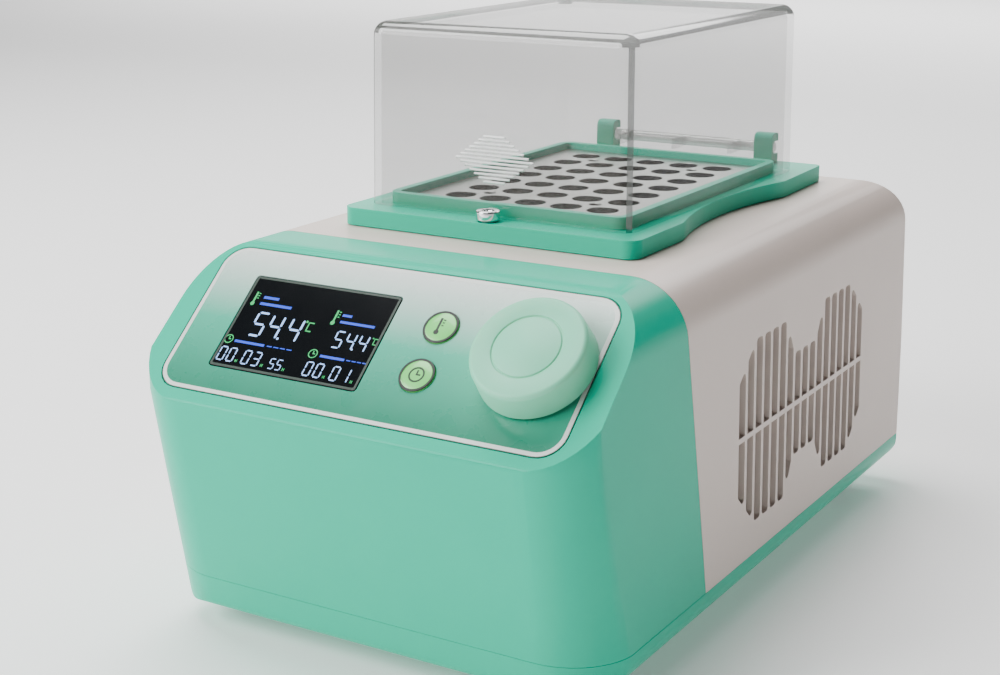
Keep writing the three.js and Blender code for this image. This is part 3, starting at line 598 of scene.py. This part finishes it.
def make_lid():
    """An open box of clear plastic with walls of one thickness."""
    outer = lid_levels(LID_TOP, 0, LID_ROUND)
    inner = lid_levels(LID_TOP - LID_WALL, LID_WALL, LID_WALL)
    count = len(outer[0])
    verts = [v for ring in outer + inner for v in ring]
    faces = []
    levels = len(outer)

    def skin(first, flip):
        for level in range(levels - 1):
            for i in range(count):
                j = (i + 1) % count
                a = first + level * count
                quad = [a + i, a + j, a + count + j, a + count + i]
                faces.append(quad[::-1] if flip else quad)

    skin(0, False)
    skin(levels * count, True)
    faces.append([(levels - 1) * count + i for i in range(count)])
    faces.append([(2 * levels - 1) * count + i for i in reversed(range(count))])
    for i in range(count):
        j = (i + 1) % count
        faces.append([j, i, levels * count + i, levels * count + j])
    mesh = mesh_of("lid", verts, faces, CASE)
    smooth(mesh, 40)
    made = piece("lid_cover", mesh, CLEAR, "lid", "clear_plastic", "lid_shell")
    paint_edge_shade(mesh)
    weights = made.modifiers.new("flats", "WEIGHTED_NORMAL")
    weights.keep_sharp = True


def make_grip():
    """Raised horizontal ribs in a diamond on the lid's front wall."""
    verts, faces = [], []
    count, pitch = 13, 1.27
    front = LID_FRONT + 0.2
    for i in range(count):
        z = GRIP_Z + (i - (count - 1) / 2) * pitch
        half = GRIP_WIDE - (GRIP_WIDE - GRIP_NARROW) * abs(z - GRIP_Z) / GRIP_RISE
        base = len(verts)
        for x in (-half, half):
            verts.append((x, front + 0.15, z - 0.42))
            verts.append((x * 0.985, front - 0.6, z))
            verts.append((x, front + 0.15, z + 0.42))
        faces += [(base, base + 1, base + 2), (base + 5, base + 4, base + 3)]
        for a, b in ((0, 1), (1, 2), (2, 0)):
            faces.append((base + a, base + 3 + a, base + 3 + b, base + b))
    mesh = mesh_of("grip", verts, faces, CASE)
    piece("lid_grip_ribs", mesh, FROST, "lid", "clear_plastic")


def make_hinge_rod():
    """The clear rod the lid turns on, with three webs that join it to the back wall."""
    turn = Matrix.Translation((0, HINGE_Y, HINGE_Z)) @ Matrix.Rotation(math.pi / 2, 4, "Y")
    half = HINGE_HALF
    ends = arc(1.7, -half + 0.5, 0.5, -90, 0, 4) + arc(1.7, half - 0.5, 0.5, 0, 90, 4)
    profile = [(0, -half)] + ends + [(0, half)]
    mesh = lathe("rod", profile, CASE @ turn, 48)
    made = piece("lid_hinge_rod", mesh, ROD, "lid", "clear_plastic")
    smooth(made.data, 40)
    outlines = [bar(x - 0.8, x + 0.8, 92.9, 10.7) for x in (-24, 0, 24)]
    webs = slabs("webs", outlines, HINGE_Z - 2, HINGE_Z + 2, CASE)
    soften(piece("lid_hinge_webs", webs, CLEAR, "lid", "clear_plastic"), 0.3)


def make_magnet():
    place = CASE @ Matrix.Translation((0, -49.8, 0))
    profile = [(0, 134.2)] + arc(3.7, 134.6, 0.4, -90, 0, 4) + arc(3.6, 136.9, 0.5, 0, 90, 5)
    profile += [(2.2, 137.4), (1.9, 137.0), (0, 137.0)]
    made = piece("magnet_button", lathe("magnet", profile, place, 64), CHROME, "lid", "chrome", "lid_magnet")
    smooth(made.data, 40)


# ---- Tube block ------------------------------------------------------------------------------------


def well_cutter():
    """The wells, and the four small holes between them, as one cutting mesh."""
    places = [(14.1 * (i - 2), BLOCK_MIDDLE_Y + 15.7 * (j - 3)) for j in range(7) for i in range(5)]
    wells = [(x, y, 5.5, 37, 0.15) for x, y in places]
    taps = [(21.15 * i, BLOCK_MIDDLE_Y + 39.25 * j, 2.1, 12, 0.3) for i in (-1, 1) for j in (-1, 1)]
    mesh = bpy.data.meshes.new("wells")
    bm = bmesh.new()
    for x, y, radius, depth, chamfer in wells + taps:
        floor = BLOCK_TOP - depth
        profile = [(0, floor - radius * 0.5), (radius * 0.45, floor - radius * 0.35), (radius, floor)]
        profile += [(radius, BLOCK_TOP - chamfer), (radius + chamfer, BLOCK_TOP)]
        profile += [(radius + chamfer, BLOCK_TOP + 1), (0, BLOCK_TOP + 1)]
        bm.from_mesh(lathe("well", profile, CASE @ Matrix.Translation((x, y, 0)), 40))
    bm.to_mesh(mesh)
    bm.free()
    cutter = bpy.data.objects.new("well_cutter", mesh)
    bpy.context.scene.collection.objects.link(cutter)
    return cutter


def make_block():
    """The tube block with its chamfered wells, whose inner walls get a dark painted shade."""
    outline = round_rect(-BLOCK_X, BLOCK_X, BLOCK_FRONT, BLOCK_BACK, 2.5, 6)
    body = slabs("block", [outline], BLOCK_BOTTOM, BLOCK_TOP, CASE)
    made = piece("block_finished", body, BLOCK, "block", "aluminium", "tube_block")
    cutter = well_cutter()
    boolean = made.modifiers.new("wells", "BOOLEAN")
    boolean.operation = "DIFFERENCE"
    boolean.solver = "EXACT"
    boolean.object = cutter
    bpy.context.view_layer.update()
    depsgraph = bpy.context.evaluated_depsgraph_get()
    cut_mesh = bpy.data.meshes.new_from_object(made.evaluated_get(depsgraph))
    made.modifiers.clear()
    made.data = cut_mesh
    bpy.data.objects.remove(cutter)
    smooth(cut_mesh, 30)
    cut_mesh.materials.append(WELL_SHADE)
    # Faces inside the wells below the chamfer get the painted shade.
    for face in cut_mesh.polygons:
        x, y, z = face.center / MM
        inside = abs(x) < 42 and -37 < y < 84.3 and z < BLOCK_TOP - 0.6
        if inside and face.normal.z > -0.5:
            face.material_index = 1
    weights = made.modifiers.new("flats", "WEIGHTED_NORMAL")
    weights.keep_sharp = True


# ---- Other pieces ----------------------------------------------------------------------------------

EDGES = {
    "rubber": (0.5, 3),
    "steel": (0.25, 2),
    "black_plastic": (0.3, 2),
    "aluminium": (0.3, 2),
    "circuit_board": (0.1, 1),
    "foam": (0.8, 3),
    "silicone": (0.5, 2),
    "brass": (0.2, 2),
    "grey_plastic": (0.3, 2),
}


def make_rest():
    """Every CAD piece that has no piece of its own yet gets rounded edges and its finish."""
    for node in sorted(NODES):
        if NODES[node].hide_render:
            continue
        width, segments = EDGES.get(SLOT_OF[node], (0.2, 2))
        refined(node, width, segments)


# ---- Stage -----------------------------------------------------------------------------------------


def make_stage():
    far = 4000
    mesh = slabs("floor", [[(-far, -far), (far, -far), (far, far), (-far, far)]], -8, 0, CASE)
    floor = bpy.data.objects.new("floor", mesh)
    bpy.context.scene.collection.objects.link(floor)
    white = srgb(252, 252, 252)
    mesh.materials.append(
        finish("floor_white", white, 0.9, vary=0.005, bump=0.01, Emission_Color=white, Emission_Strength=0.2)
    )


def light(name, place, target, size, power):
    data = bpy.data.lights.new(name, "AREA")
    data.shape = "RECTANGLE"
    data.size, data.size_y = size
    data.energy = power
    made = bpy.data.objects.new(name, data)
    bpy.context.scene.collection.objects.link(made)
    made.location = place
    made.rotation_euler = (Vector(target) - Vector(place)).to_track_quat("-Z", "Y").to_euler()


def make_lights():
    world = bpy.data.worlds.new("studio")
    bpy.context.scene.world = world
    world.use_nodes = True
    background = world.node_tree.nodes["Background"]
    background.inputs["Color"].default_value = (1, 1, 1, 1)
    background.inputs["Strength"].default_value = 0.09
    light("key", (-1.0, -1.16, 0.95), (0, -0.05, 0.08), (1.1, 1.0), 40)
    light("top", (-0.4, 0.15, 1.4), (0, 0.02, 0.1), (0.9, 0.9), 24)
    light("back", (-0.15, 1.9, 1.45), (0, 0.1, 0.1), (1.3, 0.8), 26)
    light("sheen", (-1.5, 2.4, 1.0), (0, 0.1, 0.1), (1.7, 1.2), 16)
    light("backdrop", (-0.3, 2.3, 1.2), (-0.3, 3.6, 0), (4, 1.2), 60)


def make_camera():
    data = bpy.data.cameras.new("camera")
    data.sensor_width = 36
    data.lens = 62.67
    data.shift_x = 0.0234
    data.clip_start = 0.01
    made = bpy.data.objects.new("camera", data)
    bpy.context.scene.collection.objects.link(made)
    yaw, pitch, roll = (math.radians(a) for a in (31.58, 15.49, -0.16))
    turn = Matrix.Rotation(yaw, 4, "Z") @ Matrix.Rotation(math.pi / 2 - pitch, 4, "X")
    made.matrix_world = Matrix.Translation((0.2945, -0.5363, 0.2511)) @ turn @ Matrix.Rotation(roll, 4, "Z")
    bpy.context.scene.camera = made


make_camera()
make_case()
make_panel()
make_digits()
make_bars()
make_signs()
make_keys()
make_knob()
make_lid()
make_grip()
make_hinge_rod()
make_magnet()
make_block()
make_rest()
make_stage()
make_lights()
